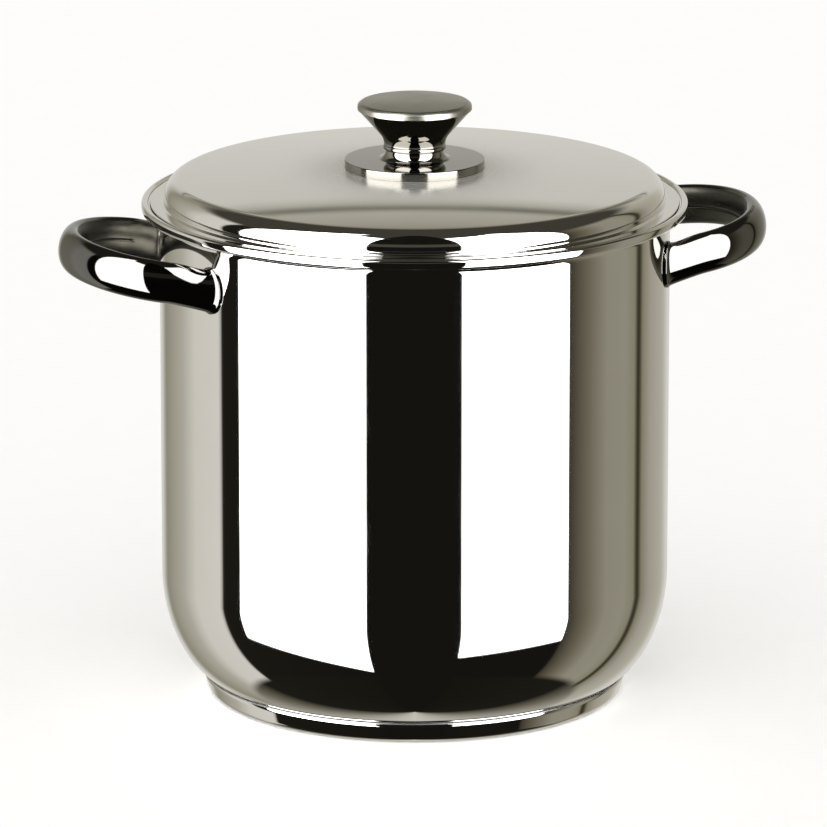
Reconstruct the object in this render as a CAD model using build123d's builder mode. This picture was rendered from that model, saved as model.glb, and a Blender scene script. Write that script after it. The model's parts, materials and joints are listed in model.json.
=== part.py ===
from build123d import *
from math import asin, atan2, cos, degrees, radians, sin, sqrt
import os

# Water bath canner: a tall stainless pot with a bonded base, two welded loop handles, a loose
# domed lid with a spun knob, and a wire jar rack with two swinging bails.
# Origin at the centre of the base's underside, +Z up, handles on the X axis. Millimetres.

# ---------- driving dimensions ----------
pot_radius = 140.0  # outside of the straight wall
wall = 1.0
floor_z = 5.6  # underside of the drawn floor
heel_width = 41.0  # half axes of the elliptical heel
heel_height = 64.0
heel_radius = pot_radius - heel_width  # where the flat floor ends
heel_z = floor_z + heel_height

flare_radius = 8.0  # outer face of the flared throat
flare_z = 267.0
flare_sweep = 78.0  # degrees turned before the sheet meets the bead
bead_width = 3.8
bead_height = 5.5
bead_round = 1.8
rim_radius = 149.8
rim_top = 277.2

capsule_radius = 117.3
capsule_sheet = 0.8
capsule_round = 8.4
capsule_top = 11.2
braze_film = 0.15

lid_sheet = 0.8
lid_wall_radius = 137.3
flange_radius = 144.9
flange_top = 276.6
flange_fillet = 1.6
shoulder_radius = 10.1
shoulder_z = 279.5
crown_radius = 1400.0
screw_hole_radius = 2.7

sides = {"left": -1, "right": 1}  # along X
loop_reach = 191.3  # tip of the tube's centre line, from the pot's axis
loop_centre = 145.0
loop_half_width = 57.0
loop_end_angle = 95.0  # where the tube stops and its foot begins
loop_tip_z = 257.5
loop_tilt = 9.0  # the loops rise outwards
tube_half_thick = 6.5
tube_half_tall = 11.3
tube_wall = 1.2
seam_width = 0.5
pad_half_wide = 9.6
pad_half_tall = 13.0
pad_plate = 1.3
pad_drop = 2.4  # the foot hangs a little below the tube
pad_sunk = 2.0  # the loft starts inside the wall, which then cuts it
pad_edge = 0.4
pad_stations = ((0.45, 0.3, 0.0, 0.0), (0.78, 0.75, 0.5, 0.9))  # way in, share of drop, growth

skirt_radius = 38.5
skirt_edge = 4.7
skirt_clearance = 0.05  # above the lid's crown
skirt_sheet = 1.0
skirt_edge_fillet = 0.6
neck_radius = 15.7
neck_top = 305.0
neck_fillet = 5.0
collar_radius = 17.3
collar_top = 308.1
grip_neck_radius = 17.0
grip_round = 8.5
grip_angle = 41.4  # half angle of the cone
grip_top_radius = 30.9
grip_rim_width = 5.0  # the turned-in rim that carries the cap
grip_wall_in = (0.8, 0.7)  # inside of the cone's start, from its outside
cap_radius = 31.3
cap_bottom = 327.3
cap_shoulder_z = 331.3
cap_top = 332.6
cap_sheet = 0.9
cap_edge = 2.2
cap_edge_fillet = 0.7
bush_radius = 6.0
bush_clearance = 0.3
bush_flange_radius = 9.0
bush_flange_height = 2.6
bush_standoff = 0.4  # above the lid
bush_bore_depth = 13.0
bush_bore_radius = 2.5
screw_radius = 2.45
screw_head_radius = 4.75
screw_head_height = 3.2
screw_head_round = 1.6
screw_length = 15.0
recess_length = 5.2
recess_width = 1.1
recess_depth = 1.6
washer_radius = 6.5
washer_thick = 1.0
spring_washer_radius = 4.4
spring_washer_thick = 1.2
spring_washer_slit = 0.8
seat_gap = 0.02  # between the stacked washers and the screw head

heavy_wire = 2.25  # wire radii
light_wire = 1.5
bail_wire = 2.0
weld_gap = 0.02
rack_clearance = 0.3
rack_ring_radius = 112.0
rack_ring_z = 18.25
inner_ring_radii = (52.0, 92.0)
hub_radius = 14.0
cross_wire_count = 8
foot_radius = 92.0
foot_half_width = 10.0
foot_bend = 4.0
hoop_radius = 126.0
hoop_z = 95.0
upright_offset = 16.0  # degrees either side of each axis
upright_foot_gap = 0.3
upright_head_gap = 0.1
divider_hub_radius = 12.0
pivot_y = 30.0
eye_gap = 0.3
bail_half_width = 25.0
bail_pin_end = 35.0
bail_length = 100.0
bail_lean = 4.0
bail_corner = 12.0
pin_corner = 3.0

# ---------- worked-out places ----------
crown_centre = shoulder_z - sqrt(
    (crown_radius - shoulder_radius) ** 2 - (lid_wall_radius - shoulder_radius) ** 2
)
crown_angle = degrees(atan2(shoulder_z - crown_centre, lid_wall_radius - shoulder_radius))
lid_top = crown_centre + crown_radius
skirt_bottom = crown_centre + sqrt(crown_radius**2 - skirt_radius**2) + skirt_clearance
skirt_top = skirt_bottom + skirt_edge
grip_cone_start = (
    grip_neck_radius + grip_round * (1 - cos(radians(grip_angle))),
    collar_top + grip_round * sin(radians(grip_angle)),
)
inner_ring_z = rack_ring_z + heavy_wire - light_wire
cross_wire_z = inner_ring_z + 2 * light_wire + weld_gap
rack_bottom = floor_z + wall + rack_clearance
eye_radius = bail_wire + eye_gap + light_wire
pivot_x = sqrt(hoop_radius**2 - pivot_y**2)
pivot_z = hoop_z + heavy_wire + eye_radius + light_wire + weld_gap
divider_z = hoop_z + heavy_wire + light_wire + weld_gap

os.makedirs("parts", exist_ok=True)


def save(builder, name):
    """Label a finished piece and write its STEP file."""
    builder.part.label = name
    export_step(builder.part, f"parts/{name}.step")


def add_wire(path, radius):
    """Sweep a round wire along a path, inside the part being built."""
    with BuildSketch(Plane(origin=path @ 0, z_dir=path % 0)) as section:
        Circle(radius)
    sweep(sections=section.sketch, path=path)


# ---------- pot ----------
# Drawn sheet: flat floor, elliptical heel, straight wall.
with BuildPart() as pot_shell:
    with BuildSketch(Plane.XZ):
        with BuildLine():
            Line((0, floor_z), (heel_radius, floor_z))
            EllipticalCenterArc((heel_radius, heel_z), heel_width, heel_height, 270, arc_size=90)
            Line((pot_radius, heel_z), (pot_radius, flare_z))
            Line((pot_radius, flare_z), (pot_radius - wall, flare_z))
            Line((pot_radius - wall, flare_z), (pot_radius - wall, heel_z))
            EllipticalCenterArc(
                (heel_radius, heel_z), heel_width - wall, heel_height - wall, 270, arc_size=90
            )
            Line((heel_radius, floor_z + wall), (0, floor_z + wall))
            Line((0, floor_z + wall), (0, floor_z))
        make_face()
    revolve(axis=Axis.Z)
save(pot_shell, "pot_shell")

# The top of the same sheet, kept as a ring of its own: flared throat and rolled bead.
with BuildPart() as pot_rim:
    flare_centre = (pot_radius + flare_radius, flare_z)
    with BuildSketch(Plane.XZ):
        with BuildLine():
            outer_flare = CenterArc(flare_centre, flare_radius, 180, -flare_sweep)
            inner_flare = CenterArc(flare_centre, flare_radius + wall, 180, -flare_sweep)
            Line(outer_flare @ 0, inner_flare @ 0)
            Line(outer_flare @ 1, inner_flare @ 1)
        make_face()
        with Locations((rim_radius - bead_width / 2, rim_top - bead_height / 2)):
            RectangleRounded(bead_width, bead_height, bead_round)
    revolve(axis=Axis.Z)
save(pot_rim, "pot_rim")

# Thick aluminium disc pressed between the floor and the capsule; it spreads the heat.
with BuildPart() as base_core_disc:
    core_round = capsule_round - capsule_sheet - braze_film
    core_radius = capsule_radius - capsule_sheet - braze_film
    core_bottom = capsule_sheet + braze_film
    core_wide = heel_width + braze_film
    core_tall = heel_height + braze_film
    core_angle = degrees(asin((core_radius - heel_radius) / core_wide))
    core_edge_z = heel_z - core_tall * cos(radians(core_angle))
    with BuildSketch(Plane.XZ):
        with BuildLine():
            Line((0, core_bottom), (core_radius - core_round, core_bottom))
            CenterArc((core_radius - core_round, capsule_round), core_round, 270, 90)
            Line((core_radius, capsule_round), (core_radius, core_edge_z))
            EllipticalCenterArc(
                (heel_radius, heel_z), core_wide, core_tall, 270, arc_size=core_angle
            )
            Line((heel_radius, floor_z - braze_film), (0, floor_z - braze_film))
            Line((0, floor_z - braze_film), (0, core_bottom))
        make_face()
    revolve(axis=Axis.Z)
save(base_core_disc, "base_core_disc")

# Stainless cup that closes the sandwich base; its underside is what the pot stands on.
with BuildPart() as base_capsule:
    with BuildSketch(Plane.XZ):
        with BuildLine():
            Line((0, 0), (capsule_radius - capsule_round, 0))
            CenterArc((capsule_radius - capsule_round, capsule_round), capsule_round, 270, 90)
            Line((capsule_radius, capsule_round), (capsule_radius, capsule_top))
            Line((capsule_radius, capsule_top), (capsule_radius - capsule_sheet, capsule_top))
            Line(
                (capsule_radius - capsule_sheet, capsule_top),
                (capsule_radius - capsule_sheet, capsule_round),
            )
            CenterArc(
                (capsule_radius - capsule_round, capsule_round),
                capsule_round - capsule_sheet,
                270,
                90,
            )
            Line((capsule_radius - capsule_round, capsule_sheet), (0, capsule_sheet))
            Line((0, capsule_sheet), (0, 0))
        make_face()
    revolve(axis=Axis.Z)
save(base_capsule, "base_capsule")


# ---------- handles ----------
def loop_plane(side):
    """Tilted plane of one loop: origin at its tip, local x away from the pot."""
    tilt = radians(loop_tilt)
    return Plane(
        origin=(side * loop_reach, 0, loop_tip_z),
        x_dir=(side * cos(tilt), 0, sin(tilt)),
        z_dir=(-side * sin(tilt), 0, cos(tilt)),
    )


def loop_path(side):
    """Centre line of one loop: most of an ellipse, open towards the pot."""
    depth = loop_reach - loop_centre
    with BuildLine(loop_plane(side)) as line:
        EllipticalCenterArc(
            (-depth, 0), depth, loop_half_width, -loop_end_angle, arc_size=2 * loop_end_angle
        )
    return line.edge()


# Each loop is an oval tube bent into a D, with its weld seam on the face towards the pot.
for side_name, side in sides.items():
    path = loop_path(side)
    with BuildPart() as handle_loop:
        tube_plane = Plane(origin=path @ 0, z_dir=path % 0, x_dir=loop_plane(side).z_dir)
        with BuildSketch(tube_plane) as tube_section:
            Ellipse(tube_half_tall, tube_half_thick)
            Ellipse(tube_half_tall - tube_wall, tube_half_thick - tube_wall, mode=Mode.SUBTRACT)
            with Locations((0, -tube_half_thick)):
                Rectangle(seam_width, 2 * seam_width, mode=Mode.SUBTRACT)
        sweep(sections=tube_section.sketch, path=path)
    save(handle_loop, f"{side_name}_handle_loop")

    # Trumpet feet: the tube flares into a thin oval plate that hugs the wall.
    for end, end_name in ((0, "front"), (1, "rear")):
        start = path @ end
        inward = (path % end) * (1 if end else -1)
        azimuth = atan2(start.Y, start.X)
        normal = Vector(cos(azimuth), sin(azimuth), 0)
        reach = (start.X**2 + start.Y**2) ** 0.5 - pot_radius
        steps = reach / abs(inward.dot(normal))
        foot_point = start + inward * steps - Vector(0, 0, pad_drop)
        foot_azimuth = atan2(foot_point.Y, foot_point.X)
        foot_normal = Vector(cos(foot_azimuth), sin(foot_azimuth), 0)
        foot_plane = Plane(
            origin=foot_point - foot_normal * pad_sunk,
            z_dir=foot_normal,
            x_dir=Vector(-sin(foot_azimuth), cos(foot_azimuth), 0),
        )
        tube_end = Plane(origin=start, z_dir=-inward, x_dir=loop_plane(side).z_dir)
        with BuildPart() as pad:
            with BuildSketch(tube_end):
                Ellipse(tube_half_tall, tube_half_thick)
            for way_in, drop, taller, thicker in pad_stations:
                station = Plane(
                    origin=start + inward * (steps * way_in) - Vector(0, 0, pad_drop * drop),
                    z_dir=-inward,
                    x_dir=loop_plane(side).z_dir,
                )
                with BuildSketch(station):
                    Ellipse(tube_half_tall + taller, tube_half_thick + thicker)
            with BuildSketch(foot_plane):
                Ellipse(pad_half_wide - pad_edge, pad_half_tall - pad_edge)
            loft()
            with BuildSketch(foot_plane):
                Ellipse(pad_half_wide, pad_half_tall)
            extrude(amount=pad_sunk + pad_plate)
            Cylinder(
                pot_radius,
                rim_top,
                align=(Align.CENTER, Align.CENTER, Align.MIN),
                mode=Mode.SUBTRACT,
            )
        where = end_name if side > 0 else {"front": "rear", "rear": "front"}[end_name]
        save(pad, f"{side_name}_{where}_pad")

# ---------- lid ----------
# Pressed dome: gently crowned top, tight shoulder, short wall, flat flange on the throat.
with BuildPart() as lid_shell:
    wall_foot_z = flange_top + flange_fillet
    fillet_centre = (lid_wall_radius + flange_fillet, wall_foot_z)
    shoulder_centre = (lid_wall_radius - shoulder_radius, shoulder_z)
    edge_radius = lid_sheet / 2
    with BuildSketch(Plane.XZ):
        with BuildLine():
            CenterArc((0, crown_centre), crown_radius, crown_angle, 90 - crown_angle)
            CenterArc(shoulder_centre, shoulder_radius, 0, crown_angle)
            Line((lid_wall_radius, shoulder_z), (lid_wall_radius, wall_foot_z))
            CenterArc(fillet_centre, flange_fillet, 180, 90)
            Line((fillet_centre[0], flange_top), (flange_radius - edge_radius, flange_top))
            CenterArc((flange_radius - edge_radius, flange_top - edge_radius), edge_radius, 90, -180)
            Line(
                (flange_radius - edge_radius, flange_top - lid_sheet),
                (fillet_centre[0], flange_top - lid_sheet),
            )
            CenterArc(fillet_centre, flange_fillet + lid_sheet, 270, -90)
            Line(
                (lid_wall_radius - lid_sheet, wall_foot_z),
                (lid_wall_radius - lid_sheet, shoulder_z),
            )
            CenterArc(shoulder_centre, shoulder_radius - lid_sheet, 0, crown_angle)
            CenterArc((0, crown_centre), crown_radius - lid_sheet, crown_angle, 90 - crown_angle)
            Line((0, lid_top - lid_sheet), (0, lid_top))
        make_face()
    revolve(axis=Axis.Z)
    with Locations((0, 0, lid_top)):
        Hole(screw_hole_radius, depth=4 * lid_sheet)
save(lid_shell, "lid_shell")

# ---------- knob ----------
# Spun base plate: vertical edge, nearly flat top, concave rise to the neck, open underneath.
with BuildPart() as knob_skirt:
    flare_foot = (neck_radius + neck_fillet, neck_top - neck_fillet)
    inner_flare_start = degrees(asin(skirt_sheet / (neck_fillet + skirt_sheet)))
    with BuildSketch(Plane.XZ):
        with BuildLine():
            Polyline(
                (skirt_radius - skirt_sheet, skirt_bottom),
                (skirt_radius, skirt_bottom),
                (skirt_radius, skirt_top),
                flare_foot,
            )
            CenterArc((flare_foot[0], neck_top), neck_fillet, 270, -90)
            inner_flare = CenterArc(
                (flare_foot[0], neck_top),
                neck_fillet + skirt_sheet,
                180 + inner_flare_start,
                90 - inner_flare_start,
            )
            Polyline(
                (neck_radius, neck_top),
                (bush_radius + bush_clearance, neck_top),
                (bush_radius + bush_clearance, neck_top - skirt_sheet),
                inner_flare @ 0,
            )
            Polyline(
                inner_flare @ 1,
                (skirt_radius - skirt_sheet, skirt_top - skirt_sheet),
                (skirt_radius - skirt_sheet, skirt_bottom),
            )
        make_face()
    revolve(axis=Axis.Z)
    rims = knob_skirt.edges().filter_by(GeomType.CIRCLE)
    widest = rims.filter_by(lambda edge: edge.radius > skirt_radius - skirt_sheet / 2)
    fillet(widest.sort_by(Axis.Z)[-1:], skirt_edge_fillet)
save(knob_skirt, "knob_skirt")

# Turned bead ring between the skirt and the grip.
with BuildPart() as knob_collar:
    collar_height = collar_top - neck_top
    with Locations((0, 0, neck_top)):
        Cylinder(collar_radius, collar_height, align=(Align.CENTER, Align.CENTER, Align.MIN))
    fillet(knob_collar.edges().filter_by(GeomType.CIRCLE), collar_height * 0.45)
    with Locations((0, 0, collar_top)):
        Hole(bush_radius + bush_clearance, depth=2 * collar_height)
save(knob_collar, "knob_collar")

# Spun cone that the fingers hold.
with BuildPart() as knob_grip:
    cone_rise = (grip_top_radius - grip_cone_start[0]) / sin(radians(grip_angle))
    grip_lip_z = grip_cone_start[1] + cone_rise * cos(radians(grip_angle))
    seat = bush_flange_radius + bush_clearance
    with BuildSketch(Plane.XZ):
        with BuildLine():
            Line((seat, collar_top), (grip_neck_radius, collar_top))
            CenterArc((grip_neck_radius + grip_round, collar_top), grip_round, 180, -grip_angle)
            Polyline(
                grip_cone_start,
                (grip_top_radius, grip_lip_z),
                (grip_top_radius, cap_bottom),
                (grip_top_radius - grip_rim_width, cap_bottom),
                (grip_top_radius - grip_rim_width, cap_bottom - skirt_sheet),
                (grip_top_radius - 2 * skirt_sheet, cap_bottom - skirt_sheet),
                (grip_cone_start[0] - grip_wall_in[0], grip_cone_start[1] + grip_wall_in[1]),
                (grip_neck_radius - skirt_sheet, collar_top + 2.5 * skirt_sheet),
                (grip_neck_radius - skirt_sheet, collar_top + skirt_sheet),
                (seat, collar_top + skirt_sheet),
                (seat, collar_top),
            )
        make_face()
    revolve(axis=Axis.Z)
save(knob_grip, "knob_grip")

# Lightly domed plate that closes the grip.
with BuildPart() as knob_cap:
    with BuildSketch(Plane.XZ):
        with BuildLine():
            ThreePointArc(
                (0, cap_top),
                ((cap_radius - cap_edge) / 2, cap_top - (cap_top - cap_shoulder_z) / 4),
                (cap_radius - cap_edge, cap_shoulder_z),
            )
            Polyline(
                (cap_radius - cap_edge, cap_shoulder_z),
                (cap_radius, cap_shoulder_z - cap_edge * 0.8),
                (cap_radius, cap_bottom),
                (cap_radius - cap_sheet, cap_bottom),
                (cap_radius - cap_sheet, cap_shoulder_z - cap_edge),
                (cap_radius - cap_edge - cap_sheet, cap_shoulder_z - cap_sheet),
                (0, cap_top - cap_sheet),
                (0, cap_top),
            )
        make_face()
    revolve(axis=Axis.Z)
    rims = knob_cap.edges().filter_by(GeomType.CIRCLE)
    high = rims.filter_by(lambda edge: edge.center().Z > cap_shoulder_z - cap_edge * 0.9)
    fillet(high.filter_by(lambda edge: edge.radius > cap_radius - cap_edge - 0.1), cap_edge_fillet)
save(knob_cap, "knob_cap")

# Threaded bush inside the knob; its flange pulls the collar and skirt down on the lid.
upright = (Align.CENTER, Align.CENTER, Align.MIN)
with BuildPart() as knob_insert:
    bush_bottom = lid_top + bush_standoff
    with Locations((0, 0, bush_bottom)):
        Cylinder(bush_radius, collar_top - bush_bottom, align=upright)
    with Locations((0, 0, collar_top)):
        Cylinder(bush_flange_radius, bush_flange_height, align=upright)
    with Locations((0, 0, bush_bottom)):
        Cylinder(bush_bore_radius, bush_bore_depth, align=upright, mode=Mode.SUBTRACT)
save(knob_insert, "knob_insert")

washer_z = lid_top - lid_sheet - washer_thick - seat_gap
spring_washer_z = washer_z - spring_washer_thick
screw_head_z = spring_washer_z - screw_head_height - seat_gap

with BuildPart() as knob_washer:
    with BuildSketch(Plane.XY.offset(washer_z)):
        Circle(washer_radius)
        Circle(screw_hole_radius, mode=Mode.SUBTRACT)
    extrude(amount=washer_thick)
save(knob_washer, "knob_washer")

# Split spring washer, drawn flat as it is when the screw is tight.
with BuildPart() as knob_spring_washer:
    with BuildSketch(Plane.XY.offset(spring_washer_z)):
        Circle(spring_washer_radius)
        Circle(screw_hole_radius, mode=Mode.SUBTRACT)
        with Locations((spring_washer_radius, 0)):
            Rectangle(spring_washer_radius, spring_washer_slit, mode=Mode.SUBTRACT)
    extrude(amount=spring_washer_thick)
save(knob_spring_washer, "knob_spring_washer")

# Pan-head screw with a cross recess, driven from inside the lid.
with BuildPart() as knob_screw:
    with Locations((0, 0, screw_head_z)):
        Cylinder(screw_head_radius, screw_head_height, align=upright)
    fillet(knob_screw.edges().sort_by(Axis.Z)[0], screw_head_round)
    with Locations((0, 0, screw_head_z + screw_head_height)):
        Cylinder(screw_radius, screw_length, align=upright)
    with BuildSketch(Plane.XY.offset(screw_head_z)):
        Rectangle(recess_length, recess_width)
        Rectangle(recess_width, recess_length)
    extrude(amount=recess_depth, mode=Mode.SUBTRACT)
save(knob_screw, "knob_screw")

# ---------- jar rack ----------
with BuildPart() as rack_floor_ring:
    with Locations((0, 0, rack_ring_z)):
        Torus(rack_ring_radius, heavy_wire)
save(rack_floor_ring, "rack_floor_ring")

with BuildPart() as rack_inner_rings:
    with Locations((0, 0, inner_ring_z)):
        for ring_radius in (hub_radius, *inner_ring_radii):
            Torus(ring_radius, light_wire)
save(rack_inner_rings, "rack_inner_rings")

# Radial wires welded on top of the rings; the jars stand on them.
with BuildPart() as rack_cross_wires:
    wire_length = rack_ring_radius - hub_radius + 2
    with Locations((0, 0, cross_wire_z)):
        with PolarLocations((rack_ring_radius + hub_radius) / 2, cross_wire_count):
            Cylinder(light_wire, wire_length, rotation=(0, 90, 0))
save(rack_cross_wires, "rack_cross_wires")

# Bent feet that keep the jars off the hot floor.
with BuildPart() as rack_feet:
    foot_top = inner_ring_z - light_wire - weld_gap
    for quarter in range(4):
        turn = radians(45 + 90 * quarter)
        foot_side = Plane(
            origin=(foot_radius * cos(turn), foot_radius * sin(turn), 0),
            x_dir=(-sin(turn), cos(turn), 0),
            z_dir=(cos(turn), sin(turn), 0),
        )
        with BuildLine(foot_side) as foot_line:
            FilletPolyline(
                (-foot_half_width, foot_top),
                (-foot_half_width, rack_bottom + light_wire),
                (foot_half_width, rack_bottom + light_wire),
                (foot_half_width, foot_top),
                radius=foot_bend,
            )
        add_wire(foot_line.wire(), light_wire)
save(rack_feet, "rack_feet")

# Uprights lean out from the floor ring to the hoop, in pairs between the jar places.
with BuildPart() as rack_uprights:
    upright_foot_z = rack_ring_z + heavy_wire + upright_foot_gap
    upright_head_z = hoop_z - heavy_wire - upright_head_gap
    for quarter in range(4):
        for offset in (-upright_offset, upright_offset):
            turn = radians(90 * quarter + offset)
            out = Vector(cos(turn), sin(turn), 0)
            foot_at = out * rack_ring_radius + Vector(0, 0, upright_foot_z)
            head_at = out * hoop_radius + Vector(0, 0, upright_head_z)
            with Locations(Plane(origin=foot_at, z_dir=head_at - foot_at)):
                Cylinder(
                    light_wire,
                    (head_at - foot_at).length,
                    align=(Align.CENTER, Align.CENTER, Align.MIN),
                )
save(rack_uprights, "rack_uprights")

with BuildPart() as rack_hoop:
    with Locations((0, 0, hoop_z)):
        Torus(hoop_radius, heavy_wire)
save(rack_hoop, "rack_hoop")

with BuildPart() as rack_divider_hub:
    with Locations((0, 0, divider_z)):
        Torus(divider_hub_radius, light_wire)
save(rack_divider_hub, "rack_divider_hub")

# Straight wires that keep the jars apart.
with BuildPart() as rack_divider_wires:
    divider_start = divider_hub_radius + light_wire + weld_gap
    divider_end = hoop_radius
    with Locations((0, 0, divider_z)):
        with PolarLocations((divider_start + divider_end) / 2, 4):
            Cylinder(light_wire, divider_end - divider_start, rotation=(0, 90, 0))
save(rack_divider_wires, "rack_divider_wires")

# Eyes welded on the hoop; the bail ends turn in them.
with BuildPart() as rack_pivot_eyes:
    corners = [(x, y, pivot_z) for x in (-pivot_x, pivot_x) for y in (-pivot_y, pivot_y)]
    with Locations(*corners):
        Torus(eye_radius, light_wire, rotation=(90, 0, 0))
save(rack_pivot_eyes, "rack_pivot_eyes")

# Lifting bails: bent wire, leaning out against their stops when up, swinging in to store.
for side_name, side in sides.items():
    lean = radians(bail_lean)
    with BuildPart() as bail:
        bail_plane = Plane(
            origin=(side * pivot_x, 0, pivot_z),
            x_dir=(0, 1, 0),
            z_dir=(side * cos(lean), 0, -sin(lean)),
        )
        with BuildLine(bail_plane) as bail_line:
            up = 1 if bail_plane.y_dir.Z > 0 else -1
            FilletPolyline(
                (-bail_pin_end, 0),
                (-bail_half_width, 0),
                (-bail_half_width, up * bail_length),
                (bail_half_width, up * bail_length),
                (bail_half_width, 0),
                (bail_pin_end, 0),
                radius=(pin_corner, bail_corner, bail_corner, pin_corner),
            )
        add_wire(bail_line.wire(), bail_wire)
    save(bail, f"{side_name}_bail")
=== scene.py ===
"""Looks of a water bath canner: mirror-polished pot, domed lid, spun knob, loop handles, wire rack."""
import json
import logging
import math
from dataclasses import dataclass
from enum import Enum

import bpy
from mathutils import Matrix, Vector

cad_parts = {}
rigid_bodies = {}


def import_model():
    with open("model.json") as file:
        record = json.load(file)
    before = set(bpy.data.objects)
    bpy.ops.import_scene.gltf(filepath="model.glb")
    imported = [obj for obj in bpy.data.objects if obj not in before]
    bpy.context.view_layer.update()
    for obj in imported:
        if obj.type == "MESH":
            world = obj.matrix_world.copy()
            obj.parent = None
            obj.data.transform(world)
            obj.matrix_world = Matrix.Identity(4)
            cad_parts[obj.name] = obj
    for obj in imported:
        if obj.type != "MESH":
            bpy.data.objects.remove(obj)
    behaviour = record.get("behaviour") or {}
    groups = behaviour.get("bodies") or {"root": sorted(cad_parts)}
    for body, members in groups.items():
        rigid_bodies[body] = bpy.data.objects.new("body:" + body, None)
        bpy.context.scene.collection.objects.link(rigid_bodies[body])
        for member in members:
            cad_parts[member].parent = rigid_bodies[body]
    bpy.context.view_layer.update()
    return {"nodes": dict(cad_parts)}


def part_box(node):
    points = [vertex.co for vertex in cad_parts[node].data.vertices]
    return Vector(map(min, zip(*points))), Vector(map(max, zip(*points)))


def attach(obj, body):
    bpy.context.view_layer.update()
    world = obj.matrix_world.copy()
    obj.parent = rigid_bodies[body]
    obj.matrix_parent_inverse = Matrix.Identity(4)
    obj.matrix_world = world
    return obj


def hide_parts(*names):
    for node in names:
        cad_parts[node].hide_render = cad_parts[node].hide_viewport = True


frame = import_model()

MM = 0.001
log = logging.getLogger("canner")
Socket = bpy.types.NodeSocket
Tree = bpy.types.NodeTree
Pair = tuple[float, float]
Stops = tuple[tuple[float, str], ...]  # places or angles, each with an sRGB hex colour
UP = Vector((0, 0, 1))


class Slot(Enum):
    """Names of two of the record's material slots; each piece made here is passed one, but nothing reads it.
    """

    POLISHED = "polished_steel"
    SATIN = "satin_steel"


class Side(Enum):
    """The two sides of the pot that carry a handle, as the sign of X."""

    LEFT = -1
    RIGHT = 1

    @property
    def word(self) -> str:
        """The side as the names of the CAD nodes spell it."""
        return self.name.lower()


# ---------- colour and nodes ----------
def linear(hex_colour: str, gain: float = 1.0) -> tuple[float, float, float, float]:
    """Turns an sRGB hex colour to linear.

    Args:
        hex_colour: six hex digits.
        gain: what the linear value is multiplied by.

    Returns:
        Red, green, blue and an alpha of 1.
    """
    parts = [int(hex_colour[k : k + 2], 16) / 255 for k in (0, 2, 4)]
    curved = [c / 12.92 if c <= 0.04045 else ((c + 0.055) / 1.055) ** 2.4 for c in parts]
    return (curved[0] * gain, curved[1] * gain, curved[2] * gain, 1.0)


def add_node(tree: Tree, kind: str, inputs: dict | None = None, **settings) -> bpy.types.Node:
    """Adds one node, with its settings, its values and its links.

    Args:
        tree: the node tree that takes it.
        kind: the node type's name, without "ShaderNode".
        inputs: a socket to link from, or a value, for each input by name or number.
        settings: the node's own properties.

    Returns:
        The new node.
    """
    node = tree.nodes.new("ShaderNode" + kind)
    for name, value in settings.items():
        setattr(node, name, value)
    for name, value in (inputs or {}).items():
        if isinstance(value, Socket):
            tree.links.new(value, node.inputs[name])
        else:
            node.inputs[name].default_value = value
    return node


def maths(tree: Tree, operation: str, *values: object) -> Socket:
    """Adds a Math node on sockets or numbers, and returns its result's socket."""
    return add_node(tree, "Math", dict(enumerate(values)), operation=operation).outputs[0]


def axis_distance(tree: Tree, spot: Socket) -> Socket:
    """Measures how far a place lies from the Z axis, and returns the distance's socket."""
    flat = add_node(tree, "VectorMath", {0: spot, 1: (1.0, 1.0, 0.0)}, operation="MULTIPLY")
    return add_node(tree, "VectorMath", {0: flat.outputs[0]}, operation="LENGTH").outputs["Value"]


def blend_colours(tree: Tree, factor: Socket, first: object, second: object) -> Socket:
    """Mixes two colours, each a socket or a linear colour, and returns the mixed colour's socket."""
    node = add_node(tree, "Mix", {0: factor, 6: first, 7: second}, data_type="RGBA")
    return node.outputs[2]


def spread(tree: Tree, value: Socket, start: Pair, end: Pair, **settings) -> Socket:
    """Maps a value from one range to another.

    Args:
        tree: the node tree that takes the node.
        value: the socket to map.
        start: lowest and highest value that come in.
        end: what they become.
        settings: the node's own properties.

    Returns:
        The mapped value's socket.
    """
    sizes = {"Value": value, "From Min": start[0], "From Max": start[1], "To Min": end[0], "To Max": end[1]}
    return add_node(tree, "MapRange", sizes, **settings).outputs["Result"]


def ramp(tree: Tree, factor: Socket, stops: Stops) -> Socket:
    """Adds a colour ramp.

    Args:
        tree: the node tree that takes it.
        factor: the socket that drives it.
        stops: place from 0 to 1, and sRGB hex colour.

    Returns:
        The ramp's colour socket.
    """
    node = add_node(tree, "ValToRGB", {0: factor})
    elements = node.color_ramp.elements
    while len(elements) < len(stops):
        elements.new(0.5)
    for element, (place, colour) in zip(elements, stops):
        element.position = place
        element.color = linear(colour)
    return node.outputs["Color"]


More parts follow.
